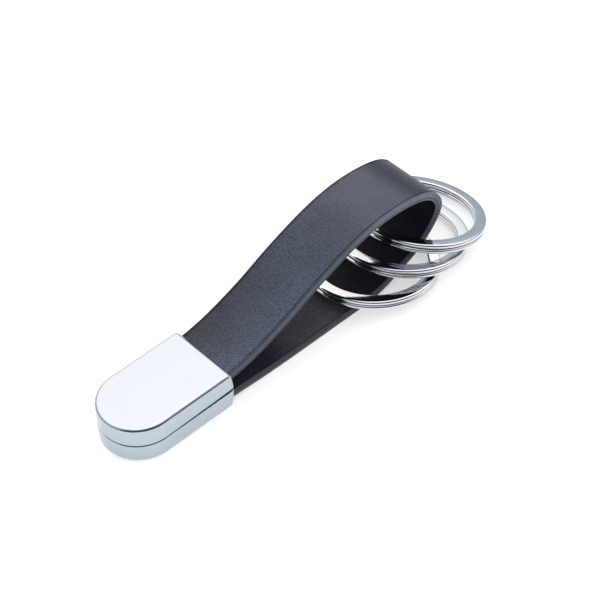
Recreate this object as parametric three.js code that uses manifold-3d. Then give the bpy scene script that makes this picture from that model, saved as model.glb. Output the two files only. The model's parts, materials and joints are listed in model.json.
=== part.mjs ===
// Key organiser: a two-part metal clasp joined by a snap stud, a leather loop
// held by both halves of the clasp, and three split rings threaded on the loop.
// Millimetres. +Z is up, +X runs from the clasp to the rings. The origin is on
// the underside of the clasp, below the axis of the snap stud.

import * as THREE from 'three';
import { mergeVertices } from 'three/addons/utils/BufferGeometryUtils.js';
import Module from 'manifold-3d';

const wasm = await Module();
wasm.setup();

// ---- driving dimensions -------------------------------------------------

const CLASP_WIDTH = 17;
const CLASP_END_X = 18.15;
const END_SWELL = 0.7;
const CLASP_HEIGHT = 9.2;
const END_CORNER = 0.8;
const EDGE_CHAMFER = 0.42;
const WALL = 0.75;
const LOWER_RIM = 4.3;
const PARTING_GAP = 0.3;
const GAPE_START_X = 2;
const GAPE_AT_END = 0.45;
const ARC_STEPS = 7;
const LOWER_FLOOR = 0.65;
const UPPER_CEILING = CLASP_HEIGHT - 0.78;

// The rounder bottom edge of the square end: how far back, and the height.
const END_FOOT = [[0.75, 0], [0.2, 0.25]];
const END_LEVELS = [0.8, 2, 3.3, 4.6, 5.9, 7.2, CLASP_HEIGHT - EDGE_CHAMFER];

// Reaches well past the clasp, for cutting solids.
const BEYOND = 20;

const STRAP_WIDTH = 14.9;
const SLOT_CLEARANCE = 0.2;
const STRAP_THICKNESS = 2;
const LEATHER = 0.7;
const CORE = 0.2;
const CORE_WIDTH = 12;
const STRAP_STEPS = 72;

const PLATE = 0.6;
const PLATE_CLEARANCE = 0.3;
const LOWER_PLATE_Z = 3.3;
const UPPER_PLATE_Z = 5.2;
const SCREWS = [[12.5, 4.4], [12.5, -4.4], [-4.9, 0]];
const BOSS_R = 1.3;
const BOSS_BORE_R = 0.85;
const SCREW_HEAD_R = 1.2;
const SCREW_HEAD = 0.35;
const SCREW_SHANK_R = 0.6;
const SCREW_SHANK = 2.1;
const SCREW_SLOT = 0.32;

// The snap: radii, and heights from the underside of the clasp.
const STUD = {
  baseR: 2.6, neckR: 1, headR: 1.5,
  foot: 2.1, base: 3.05, neckTop: 6.45, headLow: 6.75, headHigh: 7.3, top: 7.7,
};
const SOCKET = { outerR: 3.1, mouthR: 2.15, crownR: 1.85, low: 5.95, step: 6.5, high: 8.2 };
const WASHER = { innerR: 1.9, outerR: 3.4, low: 4.15, high: 4.95 };
const HOOP = { r: 1.6, wireR: 0.24, z: 6.1, start: 0.15, sweep: 1.7 };

const RING_OUTER_R = 15;
const RING_INNER_R = 12.3;
const COIL = 1;
const COIL_GAP = 0.2;
const WIRE_CHAMFER = 0.25;
const RING_STEPS = 64;
const JOG_HALF_DEG = 17;
const JOG_CLEAR_DEG = 5;

// Centre x and y, height above the table, tilt about Y, roll about X and the
// angle of the jog in the wire. Each ring leans on the strap and the next ring.
const RINGS = [
  { name: 'split_ring_1', x: 79.8, y: 0.5, lift: 0.62, tilt: 15.5, roll: 3.6, jog: 150 },
  { name: 'split_ring_2', x: 73.4, y: -0.25, lift: 0.28, tilt: 10.6, roll: 3.3, jog: 150 },
  { name: 'split_ring_3', x: 64, y: -0.85, lift: 0.03, tilt: 6.1, roll: 3.1, jog: -40 },
];

// The middle line of the strap, from its end in the upper half of the clasp,
// over the fold, to its end in the lower half: x and z.
const STRAP_LINE = [
  [7, 7.12], [14, 7.12], [17.6, 7.25], [23.8, 8.4], [33.2, 11.75],
  [42.2, 16], [51.5, 19.7], [57.9, 21.3], [64.5, 21.75], [71.1, 20.9],
  [74.5, 19.6], [76.9, 17.4], [77.8, 14.5], [76.5, 11.5], [72, 6.9],
  [66, 3.95], [61.4, 2.07], [56.5, 1.18], [46.5, 1.12], [30, 1.22],
  [20, 1.75], [14, 2], [7, 2],
];

// ---- looks --------------------------------------------------------------

const satinMetal = { color: 0xd7dde4, roughness: 0.3, metalness: 1 };
const polishedMetal = { color: 0xc9d0d6, roughness: 0.15, metalness: 1 };
const springSteel = { color: 0x9a9da1, roughness: 0.3, metalness: 1 };
const plainSteel = { color: 0x8f9397, roughness: 0.45, metalness: 1 };
const blackLeather = { color: 0x2b2d33, roughness: 0.6, metalness: 0 };
const tape = { color: 0x1c1c1e, roughness: 0.8, metalness: 0 };
const nylon = { color: 0xe6e3dc, roughness: 0.6, metalness: 0 };

// ---- solids -------------------------------------------------------------

function toSolid(geometry) {
  const bare = geometry.clone();
  bare.deleteAttribute('normal');
  bare.deleteAttribute('uv');
  const merged = mergeVertices(bare, 1e-5);
  return new wasm.Manifold(new wasm.Mesh({
    numProp: 3,
    vertProperties: new Float32Array(merged.attributes.position.array),
    triVerts: new Uint32Array(merged.index.array),
  }));
}

function toGeometry(solid) {
  const mesh = solid.getMesh();
  const geometry = new THREE.BufferGeometry();
  const positions = new THREE.BufferAttribute(mesh.vertProperties, 3);
  geometry.setAttribute('position', positions);
  geometry.setIndex(new THREE.BufferAttribute(mesh.triVerts, 1));
  geometry.computeVertexNormals();
  return geometry;
}

function asMesh(name, geometry, look) {
  const mesh = new THREE.Mesh(geometry, new THREE.MeshStandardMaterial(look));
  mesh.name = name;
  return mesh;
}

function solidMesh(name, solid, look) {
  return asMesh(name, toGeometry(solid), look);
}

// A round pillar on a vertical axis through (x, y).
function pillar(r, low, high, x = 0, y = 0, sides = 14) {
  const geometry = new THREE.CylinderGeometry(r, r, high - low, sides);
  geometry.rotateX(Math.PI / 2);
  geometry.translate(x, y, (low + high) / 2);
  return toSolid(geometry);
}

function block(low, high) {
  const size = high.map((value, i) => value - low[i]);
  const geometry = new THREE.BoxGeometry(...size);
  geometry.translate(...low.map((value, i) => value + size[i] / 2));
  return toSolid(geometry);
}

// An outline in x and z, pulled out to a width along Y about y = 0.
function slab(points, width) {
  const shape = new THREE.Shape(points.map(([x, z]) => new THREE.Vector2(x, z)));
  const options = { depth: width, bevelEnabled: false };
  const geometry = new THREE.ExtrudeGeometry(shape, options);
  geometry.rotateX(Math.PI / 2);
  geometry.translate(0, width / 2, 0);
  return toSolid(geometry);
}

// A part turned about the stud's axis from its half section: radius and z.
function turned(profile, segments = 20) {
  const points = profile.map(([r, z]) => new THREE.Vector2(r, z));
  const geometry = new THREE.LatheGeometry(points, segments);
  geometry.rotateX(Math.PI / 2);
  return toSolid(geometry);
}

// ---- clasp --------------------------------------------------------------

// The clasp's outline from above, moved inwards by inset: a half round nose,
// straight sides and a square end with small round corners.
function claspOutline(inset) {
  const r = CLASP_WIDTH / 2 - inset;
  const corner = END_CORNER - inset > 0.3 ? END_CORNER - inset : 0.3;
  const end = CLASP_END_X - inset;
  const shape = new THREE.Shape();
  shape.moveTo(0, -r);
  shape.lineTo(end - corner, -r);
  shape.absarc(end - corner, corner - r, corner, -Math.PI / 2, 0);
  shape.lineTo(end, r - corner);
  shape.absarc(end - corner, r - corner, corner, 0, Math.PI / 2);
  shape.lineTo(0, r);
  shape.absarc(0, 0, r, Math.PI / 2, Math.PI);
  shape.absarc(0, 0, r, Math.PI, Math.PI * 1.5);
  return shape;
}

function claspSlice(inset, low, high) {
  const options = { depth: high - low, bevelEnabled: false, curveSegments: ARC_STEPS };
  const geometry = new THREE.ExtrudeGeometry(claspOutline(inset), options);
  geometry.translate(0, 0, low);
  return toSolid(geometry);
}

// Where the square end stands at a height: it swells a little at mid height.
function endX(z) {
  const fromMiddle = z / (CLASP_HEIGHT / 2) - 1;
  return CLASP_END_X - END_SWELL * fromMiddle * fromMiddle;
}

// Everything this side of the swelling end. The end has a chamfer at the top
// and a rounder edge at the bottom.
function behindEnd(inset) {
  return slab([
    [-BEYOND, 0],
    ...END_FOOT.map(([back, z]) => [endX(z) - back - inset, z]),
    ...END_LEVELS.map((z) => [endX(z) - inset, z]),
    [endX(CLASP_HEIGHT) - EDGE_CHAMFER - inset, CLASP_HEIGHT],
    [-BEYOND, CLASP_HEIGHT],
  ], 2 * BEYOND);
}

// A full block of the clasp with both its flat faces chamfered.
function chamferedBlock(low, high) {
  const geometry = new THREE.ExtrudeGeometry(claspOutline(0), {
    depth: high - low - 2 * EDGE_CHAMFER,
    curveSegments: ARC_STEPS,
    bevelSegments: 1,
    bevelThickness: EDGE_CHAMFER,
    bevelSize: EDGE_CHAMFER,
    bevelOffset: -EDGE_CHAMFER,
  });
  geometry.translate(0, 0, low + EDGE_CHAMFER);
  return toSolid(geometry).intersect(behindEnd(0));
}

function hollow(low, high) {
  return claspSlice(WALL, low, high).intersect(behindEnd(WALL));
}

function strapSlot(low, high) {
  const half = STRAP_WIDTH / 2 + SLOT_CLEARANCE;
  return block([CLASP_END_X - 2 * WALL, -half, low], [CLASP_END_X + 1, half, high]);
}

function lowerShell() {
  const above = block([-BEYOND, -BEYOND, LOWER_RIM], [2 * BEYOND, BEYOND, BEYOND]);
  let shell = chamferedBlock(0, CLASP_HEIGHT).subtract(above);
  shell = shell.subtract(hollow(LOWER_FLOOR, LOWER_RIM + 1));
  shell = shell.subtract(strapSlot(LOWER_FLOOR, LOWER_PLATE_Z));
  shell = shell.add(pillar(3, LOWER_FLOOR / 2, 1.9, 0, 0, 20));
  for (const [x, y] of SCREWS) {
    shell = shell.add(pillar(BOSS_R, LOWER_FLOOR / 2, 3, x, y));
    shell = shell.subtract(pillar(BOSS_BORE_R, 1.2, 3.5, x, y));
  }
  return shell;
}

// Everything under the upper half's rim. The rim is level round the nose and
// rises towards the strap, so that the halves gape a little there.
function underUpperRim() {
  const rim = LOWER_RIM + PARTING_GAP;
  const rise = GAPE_AT_END / (CLASP_END_X - GAPE_START_X);
  const far = CLASP_END_X + 5;
  return slab([
    [-BEYOND, -1], [far, -1], [far, rim + rise * (far - GAPE_START_X)],
    [GAPE_START_X, rim], [-BEYOND, rim],
  ], 2 * BEYOND);
}

function upperShell() {
  let shell = chamferedBlock(0, CLASP_HEIGHT).subtract(underUpperRim());
  shell = shell.subtract(hollow(0, UPPER_CEILING));
  shell = shell.subtract(strapSlot(UPPER_PLATE_Z + PLATE, UPPER_CEILING));
  for (const [x, y] of SCREWS) {
    shell = shell.add(pillar(BOSS_R, 6, UPPER_CEILING + 0.3, x, y));
    shell = shell.subtract(pillar(BOSS_BORE_R, 5.5, 7.9, x, y));
  }
  return shell;
}

// The plate that closes a half: a hole for the stud and one for each screw.
function coverPlate(low, studHoleR) {
  let plate = claspSlice(WALL + PLATE_CLEARANCE, low, low + PLATE);
  plate = plate.subtract(pillar(studHoleR, low - 1, low + PLATE + 1, 0, 0, 20));
  for (const [x, y] of SCREWS) {
    plate = plate.subtract(pillar(BOSS_BORE_R, low - 1, low + PLATE + 1, x, y));
  }
  return plate;
}

// Head against the plate, shank in the boss. dir is 1 for a head facing up.
function screw(x, y, seatZ, dir) {
  const sorted = (a, b) => [Math.min(a, b), Math.max(a, b)];
  const head = sorted(seatZ, seatZ + dir * SCREW_HEAD);
  const shank = sorted(seatZ + dir * 0.1, seatZ - dir * SCREW_SHANK);
  const slot = sorted(seatZ + dir * SCREW_HEAD * 0.5, seatZ + dir);
  return pillar(SCREW_HEAD_R, ...head, x, y)
    .add(pillar(SCREW_SHANK_R, ...shank, x, y, 12))
    .subtract(block([x - 2, y - SCREW_SLOT / 2, slot[0]], [x + 2, y + SCREW_SLOT / 2, slot[1]]));
}

function screwSet(prefix, seatZ, dir) {
  return SCREWS.map(([x, y], i) => {
    return solidMesh(`${prefix}_${i + 1}`, screw(x, y, seatZ, dir), plainSteel);
  });
}

function snapStud() {
  return turned([
    [0, STUD.foot], [STUD.baseR, STUD.foot], [STUD.baseR, STUD.base],
    [STUD.neckR, STUD.base], [STUD.neckR, STUD.neckTop], [STUD.headR, STUD.headLow],
    [STUD.headR, STUD.headHigh], [STUD.neckR, STUD.top], [0, STUD.top],
  ]);
}

function snapSocket() {
  const { outerR, mouthR, crownR, low, step, high } = SOCKET;
  return turned([
    [mouthR, low], [outerR, low], [outerR, high], [crownR, high], [crownR, step],
    [mouthR, step], [mouthR, low],
  ]);
}

function spacerWasher() {
  const { innerR, outerR, low, high } = WASHER;
  return turned([[innerR, low], [outerR, low], [outerR, high], [innerR, high], [innerR, low]]);
}

// An open wire hoop that closes under the stud's head.
class OpenHoop extends THREE.Curve {
  getPoint(t, target = new THREE.Vector3()) {
    const angle = Math.PI * (HOOP.start + HOOP.sweep * t);
    return target.set(HOOP.r * Math.cos(angle), HOOP.r * Math.sin(angle), HOOP.z);
  }
}

function snapSpring() {
  const wire = new THREE.Shape().absarc(0, 0, HOOP.wireR, 0, Math.PI * 2);
  const options = { steps: 16, curveSegments: 6, extrudePath: new OpenHoop() };
  return toSolid(new THREE.ExtrudeGeometry(wire, options));
}

// ---- strap --------------------------------------------------------------

const strapCurve = new THREE.CatmullRomCurve3(
  STRAP_LINE.map(([x, z]) => new THREE.Vector3(x, 0, z)), false, 'centripetal',
);

// A layer of the strap between two distances outwards from its middle line.
function strapLayer(inner, outer, width) {
  const above = [];
  const below = [];
  for (let i = 0; i <= STRAP_STEPS; i += 1) {
    const t = i / STRAP_STEPS;
    const point = strapCurve.getPoint(t);
    const along = strapCurve.getTangent(t);
    above.push([point.x - along.z * outer, point.z + along.x * outer]);
    below.push([point.x - along.z * inner, point.z + along.x * inner]);
  }
  let layer = slab([...below, ...above.reverse()], width);
  for (const [x, y] of SCREWS.slice(0, 2)) {
    layer = layer.subtract(pillar(BOSS_R + 0.3, -1, CLASP_HEIGHT + 1, x, y));
  }
  return layer;
}

// ---- split rings --------------------------------------------------------

// The middle of a flat wire wound twice round, with one smooth step from the
// lower coil up to the upper one. Both ends of the wire stop beside that step.
class TwoCoils extends THREE.Curve {
  constructor(jogDegrees) {
    super();
    const free = JOG_HALF_DEG + JOG_CLEAR_DEG;
    this.jog = THREE.MathUtils.degToRad(jogDegrees);
    this.start = THREE.MathUtils.degToRad(jogDegrees + free);
    this.turn = THREE.MathUtils.degToRad(720 - 2 * free);
  }

  getPoint(t, target = new THREE.Vector3()) {
    const angle = this.start + this.turn * t;
    const r = (RING_OUTER_R + RING_INNER_R) / 2;
    const half = THREE.MathUtils.degToRad(JOG_HALF_DEG);
    const middle = this.jog + 2 * Math.PI;
    const rise = THREE.MathUtils.smoothstep(angle, middle - half, middle + half);
    const z = (COIL + COIL_GAP) * (rise - 0.5);
    return target.set(r * Math.cos(angle), r * Math.sin(angle), z);
  }
}

function wireSection() {
  const a = COIL / 2;
  const b = (RING_OUTER_R - RING_INNER_R) / 2;
  const c = WIRE_CHAMFER;
  const corners = [
    [a, c - b], [a, b - c], [a - c, b], [c - a, b],
    [-a, b - c], [-a, c - b], [c - a, -b], [a - c, -b],
  ];
  return new THREE.Shape(corners.map(([x, y]) => new THREE.Vector2(x, y)));
}

function splitRing({ name, x, y, lift, tilt, roll, jog }) {
  const path = new TwoCoils(jog);
  const options = { steps: RING_STEPS, extrudePath: path, curveSegments: 1 };
  const wire = new THREE.ExtrudeGeometry(wireSection(), options);
  const group = new THREE.Group();
  const toRad = THREE.MathUtils.degToRad;
  group.rotation.set(-toRad(roll), toRad(tilt), 0, 'YXZ');
  const upright = Math.cos(toRad(tilt)) * Math.cos(toRad(roll));
  const lean = Math.sqrt(1 - upright * upright);
  const halfHeight = COIL + COIL_GAP / 2;
  const low = (RING_OUTER_R - WIRE_CHAMFER) * lean + halfHeight * upright;
  group.position.set(x, y, low + lift);
  group.add(solidMesh(name, toSolid(wire), polishedMetal));
  return group;
}

// ---- assembly -----------------------------------------------------------

const lowerHalf = new THREE.Group();
lowerHalf.add(
  solidMesh('clasp_lower_shell', lowerShell(), satinMetal),
  solidMesh('clasp_lower_plate', coverPlate(LOWER_PLATE_Z, 1.4), satinMetal),
  ...screwSet('lower_screw', LOWER_PLATE_Z + PLATE + 0.05, 1),
  solidMesh('snap_stud', snapStud(), springSteel),
  solidMesh('spacer_washer', spacerWasher(), nylon),
);

const upperHalf = new THREE.Group();
upperHalf.add(
  solidMesh('clasp_upper_shell', upperShell(), satinMetal),
  solidMesh('clasp_upper_plate', coverPlate(UPPER_PLATE_Z, 1.7), satinMetal),
  ...screwSet('upper_screw', UPPER_PLATE_Z - 0.05, -1),
  solidMesh('snap_socket', snapSocket(), plainSteel),
  solidMesh('snap_spring', snapSpring(), springSteel),
);

const half = STRAP_THICKNESS / 2;
const strap = new THREE.Group();
strap.add(
  solidMesh('strap_outer_leather', strapLayer(half - LEATHER, half, STRAP_WIDTH), blackLeather),
  solidMesh('strap_core_tape', strapLayer(-CORE / 2, CORE / 2, CORE_WIDTH), tape),
  solidMesh('strap_lining_leather', strapLayer(-half, LEATHER - half, STRAP_WIDTH), blackLeather),
);

const keyOrganiser = new THREE.Group();
keyOrganiser.add(lowerHalf, upperHalf, strap, ...RINGS.map(splitRing));

export default keyOrganiser;
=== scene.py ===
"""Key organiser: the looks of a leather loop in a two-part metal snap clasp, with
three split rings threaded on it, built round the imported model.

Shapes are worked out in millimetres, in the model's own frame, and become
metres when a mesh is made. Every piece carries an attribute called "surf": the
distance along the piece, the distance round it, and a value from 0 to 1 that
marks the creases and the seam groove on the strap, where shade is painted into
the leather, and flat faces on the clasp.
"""

import json
import math

import bmesh
import bpy
import numpy as np
from mathutils import Matrix, Vector


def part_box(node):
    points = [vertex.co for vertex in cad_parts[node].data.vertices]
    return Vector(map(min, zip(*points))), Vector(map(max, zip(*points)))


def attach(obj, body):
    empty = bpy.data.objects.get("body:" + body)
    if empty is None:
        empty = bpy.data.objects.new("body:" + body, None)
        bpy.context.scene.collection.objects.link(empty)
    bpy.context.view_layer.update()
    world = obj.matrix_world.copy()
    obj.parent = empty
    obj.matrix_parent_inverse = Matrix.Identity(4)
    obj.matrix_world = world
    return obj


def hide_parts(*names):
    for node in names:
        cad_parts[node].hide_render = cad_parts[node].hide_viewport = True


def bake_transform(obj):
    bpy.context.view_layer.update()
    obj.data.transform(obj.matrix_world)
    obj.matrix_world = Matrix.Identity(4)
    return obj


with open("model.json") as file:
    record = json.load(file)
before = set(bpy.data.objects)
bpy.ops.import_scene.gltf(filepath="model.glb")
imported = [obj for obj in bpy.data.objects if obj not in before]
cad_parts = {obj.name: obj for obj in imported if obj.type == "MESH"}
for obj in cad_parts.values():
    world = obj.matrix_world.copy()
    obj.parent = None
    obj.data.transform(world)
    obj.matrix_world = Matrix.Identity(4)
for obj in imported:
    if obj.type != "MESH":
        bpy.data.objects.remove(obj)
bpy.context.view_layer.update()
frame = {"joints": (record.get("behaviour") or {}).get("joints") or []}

MM = 0.001


def box_mm(node):
    low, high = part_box(node)
    return [value / MM for value in low], [value / MM for value in high]


# ---- sizes ------------------------------------------------------------------

UPPER_LOW, UPPER_HIGH = box_mm("clasp_upper_shell")
CLASP_R = UPPER_HIGH[1]
CLASP_END_X = 18.15
END_SWELL = 0.7
CLASP_TOP = UPPER_HIGH[2]
LOWER_RIM = box_mm("clasp_lower_shell")[1][2]
UPPER_RIM = UPPER_LOW[2]
END_CORNER = 0.8
TOP_CHAMFER = 0.42
BOTTOM_ROUND = 0.42
WALL = 0.75
FLAT_INSET = 0.5
LOWER_FLOOR = 0.65
UPPER_CEILING = CLASP_TOP - 0.78
GAPE_START_X = 2.0
GAPE_AT_END = 0.45

PLATE = 0.6
LOWER_PLATE_Z = box_mm("clasp_lower_plate")[0][2]
UPPER_PLATE_Z = box_mm("clasp_upper_plate")[0][2]
SCREWS = [(12.5, 4.4), (12.5, -4.4), (-4.9, 0.0)]
PLATE_CLEARANCE = 0.3
SCREW_HOLE_R = 0.85
LOWER_STUD_HOLE_R = 1.4
UPPER_STUD_HOLE_R = 1.7
SCREW_SHANK_R = 0.6
SCREW_SHANK = 2.1
SCREW_HEAD_R = 1.2
SCREW_HEAD = 0.35
SCREW_SEAT_GAP = 0.05
SCREW_SLOT_FLOOR = 0.17
SCREW_SLOT_HALF = 0.16

# The snap: radii, and heights from the underside of the clasp.
STUD_BASE_R, STUD_NECK_R, STUD_HEAD_R = 2.6, 1, 1.5
STUD_FOOT, STUD_BASE, STUD_NECK_TOP = 2.1, 3.05, 6.45
STUD_HEAD_LOW, STUD_HEAD_HIGH, STUD_TOP = 6.75, 7.3, 7.7
SOCKET_OUTER_R, SOCKET_MOUTH_R, SOCKET_CROWN_R = 3.1, 2.15, 1.85
SOCKET_LOW, SOCKET_STEP, SOCKET_HIGH = 5.95, 6.5, 8.2
WASHER_INNER_R, WASHER_OUTER_R = 1.9, 3.4
WASHER_LOW, WASHER_HIGH = 4.15, 4.95
HOOP_R, HOOP_WIRE_R, HOOP_Z = 1.6, 0.24, 6.1
HOOP_START, HOOP_SWEEP = 0.15, 1.7

STRAP_HALF_WIDTH = box_mm("strap_outer_leather")[1][1]
STRAP_HALF = 1.0
STRAP_STEP = 0.35
STRAP_CURVE_STEPS = 4000
SLOT_CLEARANCE = 0.2
SLOT_CORNER = 0.35
STRAP_SPLIT_X = 64.5
# The middle line of the strap from its end in the upper half of the clasp,
# over the fold, to its end in the lower half: x and z.
STRAP_LINE = [
    (7, 7.12), (14, 7.12), (17.6, 7.25), (23.8, 8.4), (33.2, 11.75),
    (42.2, 16), (51.5, 19.7), (57.9, 21.3), (64.5, 21.75), (71.1, 20.9),
    (74.5, 19.6), (76.9, 17.4), (77.8, 14.5), (76.5, 11.5), (72, 6.9),
    (66, 3.95), (61.4, 2.07), (56.5, 1.18), (46.5, 1.12), (30, 1.22),
    (20, 1.75), (14, 2), (7, 2),
]

# Along the strap, in millimetres: its length, where the painted light and shade
# from the near side to the far side fades out, and where the grain grows calm as
# the strap is stretched.
STRAP_LENGTH = 153.0
PAINTED_SIDE_LIGHT_FADE = (22.0, 42.0)
GRAIN_FADE = (44.0, 58.0)

RING_OUTER_R = 15.0
RING_INNER_R = 12.3
COIL = 1.03
COIL_PITCH = 1.2
WIRE_EDGE_ROUND = 0.48
RING_STEPS = 420
JOG_HALF = math.radians(17)
JOG_CLEAR = math.radians(5)
RING_JOGS = {1: math.radians(150), 2: math.radians(150), 3: math.radians(-40)}


# ---- mesh helpers -----------------------------------------------------------


def filleted(path, closed=False, steps=5):
    """A path of (a, b, radius) corners, each rounded by its radius."""
    points = []
    count = len(path)
    for i, (a, b, radius) in enumerate(path):
        here = Vector((a, b))
        if radius == 0 or (not closed and i in (0, count - 1)):
            points.append(here)
            continue
        before = (Vector(path[i - 1][:2]) - here).normalized()
        after = (Vector(path[(i + 1) % count][:2]) - here).normalized()
        half = before.angle(after) / 2
        centre = here + (before + after).normalized() * radius / math.sin(half)
        first = here + before * radius / math.tan(half) - centre
        last = here + after * radius / math.tan(half) - centre
        turn = math.atan2(first.cross(last), first.dot(last))
        for k in range(steps + 1):
            spin = Matrix.Rotation(turn * k / steps, 2)
            points.append(centre + spin @ first)
    return [(p.x, p.y) for p in points]


def grid_faces(rows, cols, close_rows=False):
    """Quads between the rows of a grid whose columns close on themselves."""
    faces = []
    for i in range(rows if close_rows else rows - 1):
        low = i * cols
        high = (i + 1) % rows * cols
        for j in range(cols):
            k = (j + 1) % cols
            faces.append((low + j, low + k, high + k, high + j))
    return faces


def cap_faces(rows, cols):
    last = (rows - 1) * cols
    return [tuple(range(cols))[::-1], tuple(range(last, last + cols))]


def mesh_object(name, points, faces, surf=None):
    """A closed mesh, in metres, with its faces turned outwards."""
    mesh = bpy.data.meshes.new(name)
    mesh.from_pydata((np.asarray(points) * MM).tolist(), [], faces)
    if surf is not None:
        layer = mesh.attributes.new("surf", "FLOAT_VECTOR", "POINT")
        layer.data.foreach_set("vector", np.asarray(surf, dtype=np.float32).ravel())
    shell = bmesh.new()
    shell.from_mesh(mesh)
    bmesh.ops.recalc_face_normals(shell, faces=shell.faces)
    shell.to_mesh(mesh)
    shell.free()
    piece = bpy.data.objects.new(name, mesh)
    bpy.context.collection.objects.link(piece)
    return piece


def lofted(name, rings, surf, close_rows=False):
    """A skin over rings of points, one ring to a row."""
    rows, cols = rings.shape[:2]
    faces = grid_faces(rows, cols, close_rows)
    if not close_rows:
        faces += cap_faces(rows, cols)
    return mesh_object(name, rings.reshape(-1, 3), faces, surf.reshape(-1, 3))


def turned(name, profile, close_rows, centre=(0.0, 0.0), segments=64):
    """A part turned about a vertical axis from its half section (r, z)."""
    angles = np.linspace(0, 2 * math.pi, segments, endpoint=False)
    rings = np.array([
        [(centre[0] + r * math.cos(a), centre[1] + r * math.sin(a), z) for a in angles]
        for r, z in profile
    ])
    surf = np.zeros_like(rings)
    surf[:, :, 0] = np.array([[r * a for a in angles] for r, z in profile])
    surf[:, :, 1] = np.array(profile).sum(axis=1)[:, None]
    return lofted(name, rings, surf, close_rows)


def cut(piece, cutters):
    """Cuts the cutters out of the piece and removes them."""
    for cutter in cutters:
        step = piece.modifiers.new("cut", "BOOLEAN")
        step.operation = "DIFFERENCE"
        step.solver = "EXACT"
        step.object = cutter
    bake_modifiers(piece)
    for cutter in cutters:
        bpy.data.objects.remove(cutter)


def bake_modifiers(piece):
    view = bpy.context.evaluated_depsgraph_get()
    baked = bpy.data.meshes.new_from_object(piece.evaluated_get(view))
    piece.modifiers.clear()
    piece.data = baked


def soften_edges(piece, width, degrees=35):
    """Breaks every sharp edge with a small round."""
    bevel = piece.modifiers.new("soften", "BEVEL")
    bevel.width = width * MM
    bevel.segments = 2
    bevel.limit_method = "ANGLE"
    bevel.angle_limit = math.radians(degrees)
    bake_modifiers(piece)


def shade(piece, degrees=35):
    mesh = piece.data
    mesh.polygons.foreach_set("use_smooth", [True] * len(mesh.polygons))
    mesh.set_sharp_from_angle(angle=math.radians(degrees))


def finish_piece(piece, body, slot, replaced, *looks):
    for look in looks:
        piece.data.materials.append(look)
    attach(piece, body)
    if replaced:
        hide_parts(*replaced)


# ---- looks ------------------------------------------------------------------


class Look:
    """A material with one Principled shader and short calls to add nodes."""

    def __init__(self, name, **sockets):
        self.material = bpy.data.materials.new(name)
        self.material.use_nodes = True
        self.tree = self.material.node_tree
        self.shader = self.tree.nodes["Principled BSDF"]
        for socket, value in sockets.items():
            self.shader.inputs[socket.replace("_", " ")].default_value = value

    def node(self, kind, inputs=None, **settings):
        node = self.tree.nodes.new("ShaderNode" + kind)
        for key, value in settings.items():
            setattr(node, key, value)
        for socket, value in (inputs or {}).items():
            self.feed(node.inputs[socket], value)
        return node

    def feed(self, socket, value):
        if isinstance(value, bpy.types.NodeSocket):
            self.tree.links.new(value, socket)
        else:
            socket.default_value = value

    def surf(self, scale):
        """The surf attribute, in millimetres, times a scale for each part."""
        source = self.node("Attribute", attribute_name="surf").outputs["Vector"]
        return self.node("Mapping", {"Vector": source, "Scale": scale}).outputs[0]

    def place(self, scale):
        """The place in the piece, in millimetres, times a scale."""
        source = self.node("TexCoord").outputs["Object"]
        size = (np.array(scale) / MM * np.ones(3)).tolist()
        return self.node("Mapping", {"Vector": source, "Scale": size}).outputs[0]

    def noise(self, vector, detail=3.0, roughness=0.55, distortion=0.0):
        return self.node("TexNoise", {
            "Vector": vector, "Scale": 1.0, "Detail": detail,
            "Roughness": roughness, "Distortion": distortion,
        }).outputs["Fac"]

    def spread(self, value, low, high, start=0.3, end=0.7):
        """Maps a value from start..end to low..high."""
        return self.node("MapRange", {
            "Value": value, "From Min": start, "From Max": end,
            "To Min": low, "To Max": high,
        }).outputs[0]

    def math(self, operation, a, b):
        return self.node("Math", {0: a, 1: b}, operation=operation).outputs[0]

    def mix(self, factor, a, b):
        blend = self.node("Mix", {"Factor": factor}, data_type="RGBA")
        colours = [s for s in blend.inputs if s.type == "RGBA"]
        self.feed(colours[0], a)
        self.feed(colours[1], b)
        return [s for s in blend.outputs if s.type == "RGBA"][0]

    def bump(self, height, depth, strength=1.0, normal=None):
        """depth is the height of the relief, in millimetres."""
        inputs = {"Height": height, "Distance": depth * MM, "Strength": strength}
        if normal is not None:
            inputs["Normal"] = normal
        return self.node("Bump", inputs).outputs[0]


def satin_metal(name, colour, rough):
    """Satin plated metal: fine brush lines that run round the sides and, where
    the surf attribute's third part is 1, straight along the flat faces."""
    look = Look(name, Metallic=1.0)
    round_sides = look.noise(look.surf((0.22, 9.0, 0.0)), detail=5.0, roughness=0.6)
    straight = look.noise(look.place((0.22, 9.0, 9.0)), detail=5.0, roughness=0.6)
    flat = look.node("SeparateXYZ", {0: look.surf((1, 1, 1))}).outputs["Z"]
    change = look.math("SUBTRACT", straight, round_sides)
    lines = look.math("ADD", round_sides, look.math("MULTIPLY", change, flat))
    clouds = look.noise(look.place(0.18), detail=2.0)
    shift = look.spread(clouds, -0.02, 0.02)
    rough_lines = look.spread(lines, rough - 0.04, rough + 0.05)
    look.feed(look.shader.inputs["Roughness"], look.math("ADD", rough_lines, shift))
    dark = [c * 0.86 for c in colour] + [1]
    stripes = look.math("MAXIMUM", look.spread(lines, 0, 1), look.math("MULTIPLY", flat, 0.8))
    look.feed(look.shader.inputs["Base Color"], look.mix(stripes, dark, [*colour, 1]))
    look.feed(look.shader.inputs["Normal"], look.bump(lines, 0.003, 0.5))
    return look.material


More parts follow.
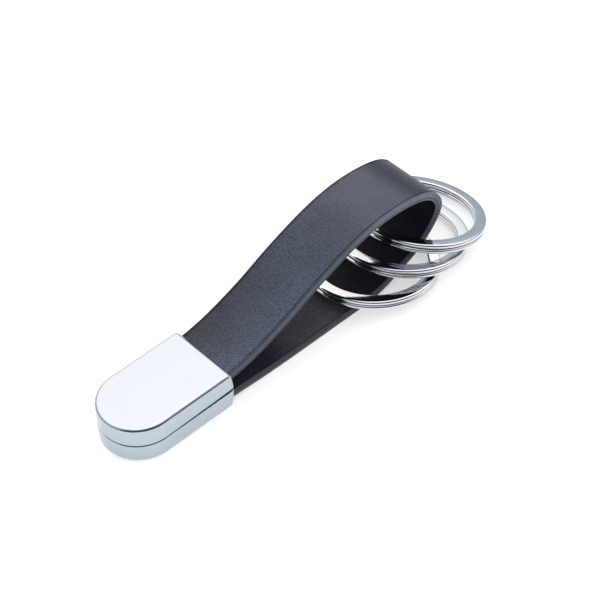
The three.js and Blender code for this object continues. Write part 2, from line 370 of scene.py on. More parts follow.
def polished_metal(name, colour, rough):
    """Polished plating: faint drawing lines along the wire and light handling."""
    look = Look(name, Metallic=1.0)
    lines = look.noise(look.surf((0.05, 6.0, 1.0)), detail=4.0)
    smears = look.noise(look.place(0.35), detail=3.0)
    shift = look.spread(smears, -0.02, 0.035)
    rough_lines = look.spread(lines, rough - 0.02, rough + 0.03)
    look.feed(look.shader.inputs["Roughness"], look.math("ADD", rough_lines, shift))
    dark = [c * 0.95 for c in colour] + [1]
    look.feed(look.shader.inputs["Base Color"], look.mix(smears, dark, [*colour, 1]))
    look.feed(look.shader.inputs["Normal"], look.bump(lines, 0.001, 0.4))
    return look.material


def tone_with_painted_light(look, stops):
    """The leather's tone by the distance along the strap, in millimetres. It is
    matched to the photograph, so it holds some of that light and shade."""
    along = look.node("SeparateXYZ", {0: look.surf((1 / STRAP_LENGTH, 1, 1))})
    ramp = look.node("ValToRGB", {0: along.outputs["X"]})
    points = ramp.color_ramp.elements
    while len(points) < len(stops):
        points.new(0.5)
    for point, (distance, tone) in zip(points, stops):
        point.position = distance / STRAP_LENGTH
        point.color = (*tone, 1)
    return ramp.outputs["Color"]


def scaled(look, colour, factor):
    """A colour times a number or a value from the tree."""
    return look.node("VectorMath", {0: colour, "Scale": factor}, operation="SCALE").outputs[0]


def pebble_pattern(look, place, size):
    """Rounded pebbles with a little waviness, so that they do not line up."""
    warp = look.math("MULTIPLY", look.noise(look.place(1.3), detail=2.0), 0.25)
    moved = look.node("VectorMath", {0: place, 1: warp}, operation="ADD").outputs[0]
    return look.node("TexVoronoi", {
        "Vector": moved, "Scale": size, "Smoothness": 0.35, "Randomness": 1.0,
    }, feature="SMOOTH_F1").outputs["Distance"]


def around_one(look, swing, share):
    """A factor for a tone: 1 and a part of a swing to either side of it."""
    return look.math("ADD", look.math("MULTIPLY", swing, share), 1.0)


def grained_leather(name, stops, painted_side_light, grain, depth, rough, contrast, gloss):
    """Fine nappa: rounded pebbles with lighter tops, which are partly grain and
    partly painted highlight, finer pores, slow changes of tone, painted shade in
    the creases, and painted light and shade that falls from the near side (low y)
    to the far side by the given factor over the first stretch of the strap."""
    look = Look(name, Specular_IOR_Level=gloss)
    place = look.place(1.0)
    pebbles = pebble_pattern(look, place, grain)
    pores = look.noise(look.place(5.0), detail=3.0, roughness=0.6)
    clouds = look.noise(look.place(0.12), detail=3.0)
    height = look.math("SUBTRACT", look.math("MULTIPLY", pores, 0.35), pebbles)
    # The tone along the strap holds painted shade at the fold and inside the loop and a painted
    # sheen at the crest.
    tone = scaled(look, tone_with_painted_light(look, stops), look.spread(clouds, 0.85, 1.15))
    where = look.node("SeparateXYZ", {0: place}).outputs["Y"]
    surf = look.node("SeparateXYZ", {0: look.surf((1, 1, 1))})
    # Painted light and shade: the tone falls from the near side to the far side over the first
    # stretch of the strap.
    fade = look.spread(surf.outputs["X"], 1, 0, *PAINTED_SIDE_LIGHT_FADE)
    side = look.spread(where, painted_side_light, -painted_side_light, -STRAP_HALF_WIDTH, STRAP_HALF_WIDTH)
    tone = scaled(look, tone, around_one(look, side, fade))
    # Lighter pebble tops: partly grain and partly painted highlight, calmer towards the crest.
    mixed = look.math("ADD", pebbles, pores)
    swing = look.spread(mixed, contrast, -contrast, 0.6, 1.25)
    calm = look.spread(surf.outputs["X"], 1, 0.35, *GRAIN_FADE)
    tone = scaled(look, tone, around_one(look, swing, calm))
    # Painted shade: the creases are darkened to 0.3 of the tone.
    tone = look.mix(surf.outputs["Z"], tone, scaled(look, tone, 0.3))
    look.feed(look.shader.inputs["Base Color"], tone)
    dull = look.spread(pebbles, rough - 0.05, rough + 0.14, 0.1, 0.7)
    look.feed(look.shader.inputs["Roughness"], dull)
    look.feed(look.shader.inputs["Normal"], look.bump(height, depth, 0.8))
    return look.material


def edge_paint(name, stops):
    """Sealed strap edge: smooth paint with faint ripples along the strap, a tone
    along the strap that holds painted light and shade, and a dull line in the
    groove between the two leathers, darkened with painted shade."""
    look = Look(name)
    ripples = look.noise(look.surf((0.9, 0.6, 1.0)), detail=3.0)
    fine = look.noise(look.place(5.0), detail=3.0)
    tone = scaled(look, tone_with_painted_light(look, stops), look.spread(ripples, 0.75, 1.1))
    painted_groove_shade = look.node("SeparateXYZ", {0: look.surf((1, 1, 1))}).outputs["Z"]
    # Painted shade: the groove is darkened to 0.15 of the tone.
    tone = look.mix(painted_groove_shade, tone, scaled(look, tone, 0.15))
    shine = look.spread(painted_groove_shade, 0.5, 0.05, 0, 1)
    look.feed(look.shader.inputs["Specular IOR Level"], shine)
    look.feed(look.shader.inputs["Base Color"], tone)
    look.feed(look.shader.inputs["Roughness"], look.spread(fine, 0.36, 0.5))
    height = look.math("ADD", ripples, look.math("MULTIPLY", fine, 0.3))
    look.feed(look.shader.inputs["Normal"], look.bump(height, 0.03, 0.6))
    return look.material


def moulded_nylon(name, colour):
    look = Look(name, Specular_IOR_Level=0.4)
    grain = look.noise(look.place(4.0), detail=4.0)
    dark = [c * 0.88 for c in colour] + [1]
    look.feed(look.shader.inputs["Base Color"], look.mix(grain, dark, [*colour, 1]))
    look.feed(look.shader.inputs["Roughness"], look.spread(grain, 0.45, 0.62))
    look.feed(look.shader.inputs["Normal"], look.bump(grain, 0.01, 0.5))
    return look.material


SATIN = satin_metal("satin_plated_zinc", (0.495, 0.57, 0.635), 0.24)
INNER_SATIN = satin_metal("satin_cover_plate", (0.58, 0.6, 0.62), 0.33)
POLISHED = polished_metal("polished_nickel", (0.68, 0.715, 0.745), 0.07)
STEEL = polished_metal("screw_steel", (0.5, 0.5, 0.51), 0.24)
SPRING = polished_metal("spring_steel", (0.42, 0.43, 0.45), 0.2)

# The leather's tones by the distance along the strap, in millimetres, matched
# to the photograph. They hold painted light and shade: painted shade at the fold
# and inside the loop, and a painted sheen at the crest and on the edge over it.
FACE = grained_leather("nappa_face", [
    (18, (0.022, 0.033, 0.058)), (40, (0.027, 0.042, 0.073)), (50, (0.027, 0.038, 0.066)),
    (57, (0.052, 0.06, 0.088)), (63, (0.05, 0.056, 0.083)), (67, (0.008, 0.012, 0.028)),
], painted_side_light=0.75, grain=3.4, depth=0.085, rough=0.36, contrast=0.55, gloss=0.4)
LINING = grained_leather("nappa_lining", [
    (80, (0.003, 0.0045, 0.009)), (106, (0.006, 0.0065, 0.012)), (112, (0.05, 0.051, 0.062)),
    (122, (0.042, 0.0425, 0.054)), (130, (0.011, 0.011, 0.02)),
], painted_side_light=0, grain=2.6, depth=0.08, rough=0.5, contrast=0.7, gloss=0.12)
EDGE = edge_paint("edge_paint", [
    (18, (0.026, 0.036, 0.057)), (45, (0.036, 0.047, 0.07)), (57, (0.08, 0.092, 0.13)),
    (70, (0.08, 0.092, 0.13)), (80, (0.032, 0.036, 0.056)), (105, (0.016, 0.016, 0.03)),
])
NYLON = moulded_nylon("nylon_spacer", (0.8, 0.79, 0.75))


# ---- clasp ------------------------------------------------------------------


def line_points(start, end, count):
    """Points from start up to, but not including, end."""
    t = np.arange(count)[:, None] / count
    return np.array(start) * (1 - t) + np.array(end) * t


def arc_points(centre, r, start, end, count):
    angles = start + (end - start) * np.arange(count) / count
    return np.stack([centre[0] + r * np.cos(angles), centre[1] + r * np.sin(angles)], 1)


def end_x(z):
    """Where the square end stands at a height: it swells at mid height and is
    rounder at its bottom edge than the sides are."""
    from_middle = z / (CLASP_TOP / 2) - 1
    low_round = 0.38 * max(0, 1 - z / 0.8) ** 2
    return CLASP_END_X - END_SWELL * from_middle**2 - low_round


def clasp_outline(inset, z):
    """The clasp from above, moved inwards: it starts and ends at the middle of
    the square end, so that the join of the surf distance is in the slot."""
    r = CLASP_R - inset
    corner = max(END_CORNER - inset, 0.3)
    end = end_x(z) - inset
    right = math.pi / 2
    side = end - corner
    return np.concatenate([
        line_points((end, 0), (end, r - corner), 8),
        arc_points((side, r - corner), corner, 0, right, 10),
        line_points((side, r), (0, r), 16),
        arc_points((0, 0), r, right, 3 * right, 96),
        line_points((0, -r), (side, -r), 16),
        arc_points((side, corner - r), corner, -right, 0, 10),
        line_points((end, corner - r), (end, 0), 8),
    ])


def outline_distance():
    points = clasp_outline(0, CLASP_TOP / 2)
    steps = np.linalg.norm(np.diff(points, axis=0), axis=1)
    return np.concatenate([[0], np.cumsum(steps)])


def rim_rise(x, z):
    """The upper half's rim rises towards the strap, so the halves gape."""
    run = np.clip((x - GAPE_START_X) / (CLASP_END_X - GAPE_START_X), 0, None)
    near_rim = np.clip((UPPER_RIM + 1.1 - z) / 0.7, 0, 1)
    return GAPE_AT_END * run * near_rim


def clasp_skin(name, profile, gape):
    """Lofts the clasp's outline over a profile of (inset, z)."""
    distance = outline_distance()
    rings = []
    surf = []
    travelled = 0.0
    previous = profile[0]
    for inset, z in profile:
        outline = clasp_outline(inset, z)
        travelled += math.dist(previous, (inset, z))
        previous = (inset, z)
        heights = np.full(len(outline), float(z))
        if gape:
            heights = heights + rim_rise(outline[:, 0], heights)
        rings.append(np.column_stack([outline, heights]))
        along = np.full(len(outline), travelled)
        flat = np.full(len(outline), float(inset >= FLAT_INSET))
        surf.append(np.column_stack([distance, along, flat]))
    return lofted(name, np.array(rings), np.array(surf))


def slot_cutter(low, high):
    """A round-cornered hole for the strap through the square end."""
    half = STRAP_HALF_WIDTH + SLOT_CLEARANCE
    corners = [(-half, low), (half, low), (half, high), (-half, high)]
    outline = filleted([(y, z, SLOT_CORNER) for y, z in corners], closed=True)
    ends = (CLASP_END_X - 2 * WALL, CLASP_END_X + 1)
    rings = np.array([[(x, y, z) for y, z in outline] for x in ends])
    return lofted("slot_cutter", rings, np.zeros_like(rings))


def round_cutter(x, y, r, low, high):
    return turned("round_cutter", [(r, low), (r, high)], False, (x, y), 48)


def add_lower_shell():
    profile = filleted([
        (2.4, 0, 0), (0.9, 0, 0), (BOTTOM_ROUND, 0, 0.22), (0, BOTTOM_ROUND, 0.3),
        (0, 0.8, 0), (0, 1.4, 0), (0, 2.2, 0), (0, LOWER_RIM - 0.9, 0),
        (0, LOWER_RIM, 0.1), (WALL, LOWER_RIM, 0.1), (WALL, 2.2, 0),
        (WALL, LOWER_FLOOR, 0.3), (WALL + 1, LOWER_FLOOR, 0),
    ])
    shell = clasp_skin("clasp_lower_half", profile, gape=False)
    cut(shell, [slot_cutter(LOWER_FLOOR, LOWER_PLATE_Z)])
    shade(shell, 40)
    finish_piece(shell, "lower_half", "clasp_metal", ["clasp_lower_shell"], SATIN)


def add_upper_shell():
    top = CLASP_TOP
    profile = filleted([
        (2.4, top, 0), (0.9, top, 0), (TOP_CHAMFER, top, 0.5),
        (0, top - TOP_CHAMFER, 0.5), (0, top - 1.2, 0), (0, top - 2, 0),
        (0, top - 2.8, 0), (0, UPPER_RIM + 1.2, 0),
        (0, UPPER_RIM + 0.6, 0), (0, UPPER_RIM, 0.1), (WALL, UPPER_RIM, 0.1),
        (WALL, UPPER_RIM + 1.2, 0), (WALL, UPPER_RIM + 2.4, 0), (WALL, UPPER_CEILING, 0.3),
        (WALL + 1, UPPER_CEILING, 0),
    ])
    shell = clasp_skin("clasp_upper_half", profile, gape=True)
    cut(shell, [slot_cutter(UPPER_PLATE_Z + PLATE, UPPER_CEILING)])
    shade(shell, 40)
    finish_piece(shell, "upper_half", "clasp_metal", ["clasp_upper_shell"], SATIN)


def add_cover_plate(name, node, body, low, stud_hole_r):
    inset = WALL + PLATE_CLEARANCE
    high = low + PLATE
    profile = filleted([
        (inset + 2, low, 0), (inset, low, 0.12), (inset, high, 0.12),
        (inset + 2, high, 0),
    ])
    plate = clasp_skin(name, profile, gape=False)
    cutters = [round_cutter(0, 0, stud_hole_r, low - 1, high + 1)]
    for x, y in SCREWS:
        cutters.append(round_cutter(x, y, SCREW_HOLE_R, low - 1, high + 1))
    cut(plate, cutters)
    soften_edges(plate, 0.06, 60)
    shade(plate, 40)
    finish_piece(plate, body, "clasp_metal", [node], INNER_SATIN)


def add_screw(name, body, x, y, seat, way):
    """way is 1 for a head that faces up and -1 for one that faces down."""
    head = seat + way * SCREW_HEAD
    profile = filleted([
        (SCREW_SHANK_R, seat - way * SCREW_SHANK, 0), (SCREW_SHANK_R, seat, 0),
        (SCREW_HEAD_R, seat, 0.05),
        (SCREW_HEAD_R, seat + way * 0.2, 0.06), (SCREW_HEAD_R - 0.22, head, 0.1),
        (0.5, head + way * 0.02, 0),
    ])
    screw = turned(name, profile, False, (x, y), 48)
    low, high = sorted((seat + way * SCREW_SLOT_FLOOR, seat + way * 1.0))
    half = SCREW_SLOT_HALF
    corners = [(-2, -half), (2, -half), (2, half), (-2, half)]
    rings = np.array([[(x + a, y + b, z) for a, b in corners] for z in (low, high)])
    cut(screw, [lofted("slot_cutter", rings, np.zeros_like(rings))])
    shade(screw, 35)
    finish_piece(screw, body, "plain_steel", [name], STEEL)


def add_screws():
    for i, (x, y) in enumerate(SCREWS, 1):
        above = LOWER_PLATE_Z + PLATE + SCREW_SEAT_GAP
        below = UPPER_PLATE_Z - SCREW_SEAT_GAP
        add_screw(f"lower_screw_{i}", "lower_half", x, y, above, 1)
        add_screw(f"upper_screw_{i}", "upper_half", x, y, below, -1)


def add_snap_stud():
    profile = filleted([
        (1.2, STUD_FOOT, 0), (STUD_BASE_R, STUD_FOOT, 0.15),
        (STUD_BASE_R, STUD_BASE, 0.15), (STUD_NECK_R, STUD_BASE, 0.3),
        (STUD_NECK_R, STUD_NECK_TOP, 0.25), (STUD_HEAD_R, STUD_HEAD_LOW, 0.2),
        (STUD_HEAD_R, STUD_HEAD_HIGH, 0.25), (STUD_NECK_R, STUD_TOP, 0.2),
        (0.4, STUD_TOP, 0),
    ])
    stud = turned("snap_stud_turned", profile, False)
    shade(stud)
    finish_piece(stud, "lower_half", "spring_steel", ["snap_stud"], SPRING)


def add_snap_socket():
    profile = filleted([
        (SOCKET_MOUTH_R, SOCKET_LOW, 0.08), (SOCKET_OUTER_R, SOCKET_LOW, 0.15),
        (SOCKET_OUTER_R, SOCKET_HIGH, 0.1), (SOCKET_CROWN_R, SOCKET_HIGH, 0.1),
        (SOCKET_CROWN_R, SOCKET_STEP, 0.06), (SOCKET_MOUTH_R, SOCKET_STEP, 0.06),
    ], closed=True)
    socket = turned("snap_socket_turned", profile, True)
    shade(socket)
    finish_piece(socket, "upper_half", "plain_steel", ["snap_socket"], STEEL)


def add_spacer_washer():
    profile = filleted([
        (WASHER_INNER_R, WASHER_LOW, 0.1), (WASHER_OUTER_R, WASHER_LOW, 0.15),
        (WASHER_OUTER_R, WASHER_HIGH, 0.15), (WASHER_INNER_R, WASHER_HIGH, 0.1),
    ], closed=True)
    washer = turned("spacer_washer_moulded", profile, True)
    shade(washer)
    finish_piece(washer, "lower_half", "nylon", ["spacer_washer"], NYLON)


# ---- sweeps: the spring, the strap and the rings ----------------------------


def swept(name, origins, across, out, section, ends=0.0):
    """Carries a section of (across, out) along a path. ends is the size of the
    round at both ends of the bar."""
    steps = np.linalg.norm(np.diff(origins, axis=0), axis=1)
    distance = np.concatenate([[0], np.cumsum(steps)])
    section = np.asarray(section)
    girth = np.linalg.norm(np.roll(section, -1, axis=0) - section, axis=1)
    around = np.concatenate([[0], np.cumsum(girth)[:-1]])
    count = len(origins)
    shrink = np.zeros(count)
    if ends:
        from_end = np.minimum(distance, distance[-1] - distance)
        shrink = ends - np.sqrt(np.clip(ends**2 - (ends - np.clip(from_end, 0, ends))**2, 0, None))
    size = np.abs(section).max(axis=0)
    rings = []
    surf = []
    for i in range(count):
        slice_ = section * (1 - shrink[i] / size)
        rings.append(origins[i] + slice_[:, :1] * across[i] + slice_[:, 1:] * out[i])
        along = np.full(len(section), distance[i])
        surf.append(np.column_stack([along, around, np.zeros(len(section))]))
    return lofted(name, np.array(rings), np.array(surf))


def add_snap_spring():
    count = 90
    angles = math.pi * (HOOP_START + HOOP_SWEEP * np.linspace(0, 1, count))
    radial = np.stack([np.cos(angles), np.sin(angles), np.zeros(count)], 1)
    origins = radial * HOOP_R + np.array([0, 0, HOOP_Z])
    up = np.tile([0.0, 0.0, 1.0], (count, 1))
    turn = np.linspace(0, 2 * math.pi, 16, endpoint=False)
    section = HOOP_WIRE_R * np.stack([np.cos(turn), np.sin(turn)], 1)
    spring = swept("snap_spring_wire", origins, radial, up, section, ends=0.12)
    shade(spring)
    finish_piece(spring, "upper_half", "spring_steel", ["snap_spring"], SPRING)


def catmull_rom(points, count):
    """The same centripetal curve through the points as the CAD model has."""
    points = np.array(points, dtype=float)
    first = 2 * points[0] - points[1]
    last = 2 * points[-1] - points[-2]
    points = np.vstack([first, points, last])
    spans = len(points) - 3
    curve = []
    for t in np.linspace(0, spans - 1e-9, count):
        k = int(t)
        p = points[k:k + 4]
        knots = np.cumsum([0] + [math.dist(p[i], p[i + 1]) ** 0.5 for i in range(3)])
        s = knots[1] + (t - k) * (knots[2] - knots[1])

        def between(a, b, i, j):
            return ((knots[j] - s) * a + (s - knots[i]) * b) / (knots[j] - knots[i])

        a = [between(p[i], p[i + 1], i, i + 1) for i in range(3)]
        b = [between(a[i], a[i + 1], i, i + 2) for i in range(2)]
        curve.append(between(b[0], b[1], 1, 2))
    return np.array(curve)


def strap_stations():
    """Points on the strap's middle line at even steps, and the way out there."""
    dense = catmull_rom(STRAP_LINE, STRAP_CURVE_STEPS)
    lengths = np.linalg.norm(np.diff(dense, axis=0), axis=1)
    distance = np.concatenate([[0], np.cumsum(lengths)])
    count = round(distance[-1] / STRAP_STEP) + 1
    even = np.linspace(0, distance[-1], count)
    x = np.interp(even, distance, dense[:, 0])
    z = np.interp(even, distance, dense[:, 1])
    along = np.gradient(np.stack([x, z], 1), axis=0)
    along /= np.linalg.norm(along, axis=1)[:, None]
    middle = np.stack([x, np.zeros(count), z], 1)
    out = np.stack([-along[:, 1], np.zeros(count), along[:, 0]], 1)
    return middle, out, even


CREASE_INSET = 0.5
CREASE_WIDTH = 0.2
CREASE_DEPTH = 0.14
EDGE_SHOULDER = 0.3
SEAM_LEVEL = -0.38
SEAM_WIDTH = 0.17
SEAM_DEPTH = 0.14


def strap_section():
    """Half the strap's section from the middle of its outer face round the edge
    to the middle of its lining: across, out, painted shade in the grooves and the
    look's number."""
    flat = STRAP_HALF_WIDTH - EDGE_SHOULDER
    crease = STRAP_HALF_WIDTH - CREASE_INSET
    wide = np.linspace(0, crease - CREASE_WIDTH, 12)
    groove = crease + CREASE_WIDTH * np.linspace(-1, 1, 11)[1:]
    spots = []
    for y in [*wide, *groove]:
        dip = 0.5 + 0.5 * math.cos(math.pi * min(1, abs(y - crease) / CREASE_WIDTH))
        spots.append((y, STRAP_HALF - CREASE_DEPTH * dip, dip, 0))
    for k in range(1, 9):
        a = math.pi / 2 * (1 - k / 8)
        y = flat + EDGE_SHOULDER * math.cos(a)
        spots.append((y, STRAP_HALF - EDGE_SHOULDER * (1 - math.sin(a)), 0, 1))
    lower = [(y, -z, painted_groove_shade * 0.6, 2 if look == 0 else 1) for y, z, painted_groove_shade, look in spots]
    above = [(STRAP_HALF_WIDTH, z, 0, 1) for z in (0.25, SEAM_LEVEL + SEAM_WIDTH)]
    seam = [(STRAP_HALF_WIDTH - SEAM_DEPTH, SEAM_LEVEL, 1, 1)]
    below = [(STRAP_HALF_WIDTH, SEAM_LEVEL - SEAM_WIDTH, 0, 1)]
    return spots + above + seam + below + lower[::-1]


def strap_loop():
    """The closed section: the half and its mirror image, without the ends twice."""
    half = strap_section()
    mirror = [(-y, z, painted_groove_shade, look) for y, z, painted_groove_shade, look in half[-2:0:-1]]
    return np.array(half + mirror)


def strap_grid():
    """Every point of the strap, the distances and the painted shade in the grooves, and smooth
    normals.
    """
    middle, out, distance = strap_stations()
    loop = strap_loop()
    count = len(middle)
    across = np.array([0.0, 1.0, 0.0])
    phase = distance[:, None] / 9.0 + loop[None, :, 0] / 5.0
    ripple = 0.025 * np.sin(phase) * np.sin(distance[:, None] / 4.1 + 0.8)
    fade = np.clip((middle[:, 0] - CLASP_END_X - 1) / 8, 0, 1)
    raised = loop[None, :, 1] + ripple * fade[:, None]
    points = (
        middle[:, None, :]
        + loop[None, :, 0, None] * across
        + raised[:, :, None] * out[:, None, :]
    )
    girth = np.linalg.norm(np.roll(loop[:, :2], -1, axis=0) - loop[:, :2], axis=1)
    around = np.concatenate([[0], np.cumsum(girth)[:-1]])
    surf = np.zeros_like(points)
    surf[:, :, 0] = distance[:, None]
    surf[:, :, 1] = around[None, :]
    surf[:, :, 2] = loop[None, :, 2]
    along = np.gradient(points, axis=0)
    round_it = np.roll(points, -1, axis=1) - np.roll(points, 1, axis=1)
    normals = np.cross(round_it, along)
    normals /= np.linalg.norm(normals, axis=2)[:, :, None]
    facing = (normals * (points - middle[:, None, :])).sum()
    if facing < 0:
        normals = -normals
    return points, surf, normals, loop, middle, count


def add_strap_run(name, rows, grid):
    """One stretch of the strap, with the normals of the whole strap so that
    the stretches meet without a line."""
    points, surf, normals, loop = grid[:4]
    run = points[rows]
    cols = run.shape[1]
    piece = lofted(name, run, surf[rows])
    looks = loop[:, 3].astype(int)
    for face in piece.data.polygons:
        if face.loop_total == 4:
            columns = [v % cols for v in face.vertices]
            face.material_index = int(np.median([looks[c] for c in columns]))
    piece.data.polygons.foreach_set("use_smooth", [True] * len(piece.data.polygons))
    piece.data.normals_split_custom_set_from_vertices(normals[rows].reshape(-1, 3))
    return piece


def add_strap():
    grid = strap_grid()
    middle, count = grid[4], grid[5]
    crest = int(np.argmax(middle[:, 0] > STRAP_SPLIT_X))
    upper = add_strap_run("strap_upper_run", slice(0, crest + 1), grid)
    lower = add_strap_run("strap_fold_and_lower_run", slice(crest, count), grid)
    layers = ["strap_outer_leather", "strap_core_tape", "strap_lining_leather"]
    for piece in (upper, lower):
        for look in (FACE, EDGE, LINING):
            piece.data.materials.append(look)
    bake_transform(upper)
    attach(lower, "lower_half")
    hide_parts(*layers)
    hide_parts(*layers)


def wire_section():
    """The rolled flat wire's section, radial and axial: flat faces and edges
    that are nearly half round."""
    half_width = (RING_OUTER_R - RING_INNER_R) / 2
    half = COIL / 2
    outer = WIRE_EDGE_ROUND
    inner = WIRE_EDGE_ROUND * 0.75
    return filleted([
        (-half_width, -half, inner), (half_width, -half, outer),
        (half_width, half, outer), (-half_width, half, inner),
    ], closed=True, steps=9)


def add_ring(number):
    joint = next(j for j in frame["joints"] if j["name"] == f"ring_{number}_spin")
    centre = np.array(joint["pos_m"]) / MM
    axis = np.array(joint["axis"]) / np.linalg.norm(joint["axis"])
    east = np.array([axis[2], 0, -axis[0]])
    east /= np.linalg.norm(east)
    north = np.cross(axis, east)
    jog = RING_JOGS[number]
    free = JOG_HALF + JOG_CLEAR
    angles = np.linspace(jog + free, jog + 4 * math.pi - free, RING_STEPS * 2)
    ends = np.deg2rad([0.04, 0.12, 0.25, 0.42, 0.62])
    angles = np.sort(np.concatenate([angles, angles[0] + ends, angles[-1] - ends]))
    step = np.clip((angles - jog - 2 * math.pi + JOG_HALF) / (2 * JOG_HALF), 0, 1)
    level = COIL_PITCH * (step * step * (3 - 2 * step) - 0.5)
    radial = np.cos(angles)[:, None] * east + np.sin(angles)[:, None] * north
    middle_r = (RING_OUTER_R + RING_INNER_R) / 2
    origins = centre + radial * middle_r + level[:, None] * axis
    up = np.tile(axis, (len(angles), 1))
    ring = swept(f"split_ring_wire_{number}", origins, radial, up, wire_section(), ends=0.16)
    shade(ring, 50)
    finish_piece(ring, f"ring_{number}", "ring_metal", [f"split_ring_{number}"], POLISHED)


# ---- stage, light and camera ------------------------------------------------

CAMERA_AZIMUTH = math.radians(-41.37)
CAMERA_ELEVATION = math.radians(46.43)
CAMERA_ROLL = math.radians(-2.23)
CAMERA_DISTANCE = 0.40465
CAMERA_TARGET = Vector((0.04446, 0.0006, 0.00425))
CAMERA_LENS = 115.3
CAMERA_SENSOR = 36.0

FLOOR_HALF = 4000.0
FLOOR_HEIGHT = -0.02
FLOOR_GLOW = 0.42

# The surroundings by height, from straight down to straight up: the tent
# behind the object and the room behind the camera.
TENT = [
    (0.0, (0.33, 0.36, 0.39)), (0.2, (0.36, 0.41, 0.45)), (0.3, (0.42, 0.48, 0.53)),
    (0.39, (0.95, 0.95, 0.95)), (0.6, (1.24, 1.1, 1.05)), (0.7, (1.57, 1.36, 1.28)),
    (0.8, (1.4, 1.24, 1.17)), (1.0, (1, 1, 1)),
]
ROOM = [
    (0.0, (0.2, 0.22, 0.26)), (0.2, (0.05, 0.06, 0.085)), (0.75, (0.045, 0.055, 0.08)),
    (0.92, (0.5, 0.52, 0.55)), (1.0, (1, 1, 1)),
]
# Where the one changes to the other, from -1 behind the camera to 1 opposite.
ROOM_TO_TENT = (-0.45, 0.25)
STUDIO_STRENGTH = 1.25


def view_back():
    """The direction from the target to the camera."""
    flat = math.cos(CAMERA_ELEVATION)
    return Vector((
        math.sin(CAMERA_AZIMUTH) * flat,
        -math.cos(CAMERA_AZIMUTH) * flat,
        math.sin(CAMERA_ELEVATION),
    ))


def add_camera():
    back = view_back()
    level = Vector((0, 0, 1)).cross(back).normalized()
    upright = back.cross(level)
    c, s = math.cos(CAMERA_ROLL), math.sin(CAMERA_ROLL)
    right = c * level + s * upright
    up = c * upright - s * level
    data = bpy.data.cameras.new("camera")
    data.lens = CAMERA_LENS
    data.sensor_width = CAMERA_SENSOR
    data.clip_start = 0.01
    data.clip_end = 50
    camera = bpy.data.objects.new("camera", data)
    turn = Matrix((right, up, back)).transposed().to_4x4()
    place = Matrix.Translation(CAMERA_TARGET + back * CAMERA_DISTANCE)
    camera.matrix_world = place @ turn
    bpy.context.collection.objects.link(camera)
    bpy.context.scene.camera = camera


def add_floor():
    half = FLOOR_HALF
    spots = [(-half, -half), (half, -half), (half, half), (-half, half)]
    corners = [(x, y, FLOOR_HEIGHT) for x, y in spots]
    floor = mesh_object("floor", corners, [(0, 1, 2, 3)])
    look = Look("lit_white_paper", Specular_IOR_Level=0.1, Roughness=0.9)
    look.shader.inputs["Emission Color"].default_value = (1, 1, 1, 1)
    look.shader.inputs["Emission Strength"].default_value = FLOOR_GLOW
    tooth = look.noise(look.place(0.4), detail=3.0)
    tone = look.mix(tooth, (0.56, 0.56, 0.565, 1), (0.575, 0.575, 0.58, 1))
    look.feed(look.shader.inputs["Base Color"], tone)
    floor.data.materials.append(look.material)


def add_softbox(name, direction, distance, size, power, tint=(1, 1, 1), mirrored=True):
    """A rectangular lamp that faces the object. mirrored is False for a fill
    lamp that lights the matt surfaces only and leaves no spot on the metal."""
    data = bpy.data.lights.new(name, "AREA")
    data.shape = "RECTANGLE"
    data.size, data.size_y = size
    data.energy = power
    data.color = tint
    box = bpy.data.objects.new(name, data)
    way = Vector(direction).normalized()
    box.location = CAMERA_TARGET + way * distance
    box.rotation_euler = way.to_track_quat("Z", "Y").to_euler()
    box.visible_glossy = mirrored
    bpy.context.collection.objects.link(box)


def ramp(tree, value, stops):
    node = tree.nodes.new("ShaderNodeValToRGB")
    tree.links.new(value, node.inputs[0])
    while len(node.color_ramp.elements) < len(stops):
        node.color_ramp.elements.new(0.5)
    for element, (place, tone) in zip(node.color_ramp.elements, stops):
        element.position = place
        element.color = (*tone, 1)
    return node.outputs["Color"]


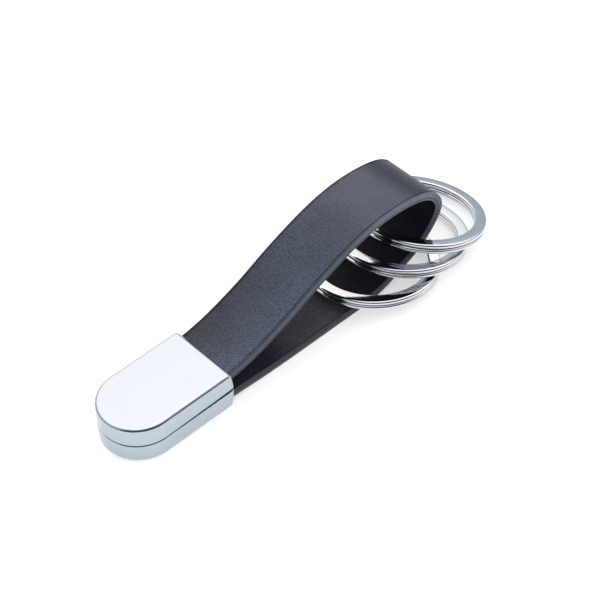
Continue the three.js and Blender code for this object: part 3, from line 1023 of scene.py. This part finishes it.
def tent_share(tree, way):
    """0 towards the room behind the camera and 1 towards the tent."""
    far = view_back()
    behind = tree.nodes.new("ShaderNodeVectorMath")
    behind.operation = "DOT_PRODUCT"
    behind.inputs[1].default_value = Vector((-far.x, -far.y, 0)).normalized()
    tree.links.new(way, behind.inputs[0])
    side = tree.nodes.new("ShaderNodeMapRange")
    side.interpolation_type = "SMOOTHSTEP"
    side.inputs["From Min"].default_value = ROOM_TO_TENT[0]
    side.inputs["From Max"].default_value = ROOM_TO_TENT[1]
    tree.links.new(behind.outputs["Value"], side.inputs["Value"])
    return side.outputs[0]


def add_studio():
    """A bright tent above and behind the object and a darker room behind the
    camera, which gives the polished metal its contrast."""
    world = bpy.data.worlds.new("studio")
    bpy.context.scene.world = world
    world.use_nodes = True
    tree = world.node_tree
    ground = tree.nodes["Background"]
    way = tree.nodes.new("ShaderNodeTexCoord").outputs["Generated"]
    split = tree.nodes.new("ShaderNodeSeparateXYZ")
    tree.links.new(way, split.inputs[0])
    height = split.outputs["Z"]
    blend = tree.nodes.new("ShaderNodeMix")
    blend.data_type = "RGBA"
    tree.links.new(tent_share(tree, way), blend.inputs["Factor"])
    colours = [s for s in blend.inputs if s.type == "RGBA"]
    tree.links.new(ramp(tree, height, ROOM), colours[0])
    tree.links.new(ramp(tree, height, TENT), colours[1])
    result = [s for s in blend.outputs if s.type == "RGBA"][0]
    tree.links.new(result, ground.inputs["Color"])
    ground.inputs["Strength"].default_value = STUDIO_STRENGTH
    bpy.context.scene.view_settings.view_transform = "Standard"


# ---- build ------------------------------------------------------------------

add_camera()
add_floor()
add_studio()
add_softbox("top_softbox", (0.0, 0.1, 1), 0.9, (0.9, 0.9), 1.2)
add_softbox("left_softbox", (-1, 0.2, 0.7), 0.9, (0.5, 0.7), 0.7, (0.78, 0.89, 1))
add_softbox("right_fill", (0.85, -0.75, 0.55), 0.8, (0.45, 0.45), 2.4, mirrored=False)
add_softbox("front_fill", view_back(), 0.9, (0.7, 0.7), 4.4, mirrored=False)

add_lower_shell()
add_upper_shell()
add_cover_plate("lower_cover_plate", "clasp_lower_plate", "lower_half", LOWER_PLATE_Z,
                LOWER_STUD_HOLE_R)
add_cover_plate("upper_cover_plate", "clasp_upper_plate", "upper_half", UPPER_PLATE_Z,
                UPPER_STUD_HOLE_R)
add_screws()
add_snap_stud()
add_snap_socket()
add_spacer_washer()
add_snap_spring()
add_strap()
for ring_number in (1, 2, 3):
    add_ring(ring_number)
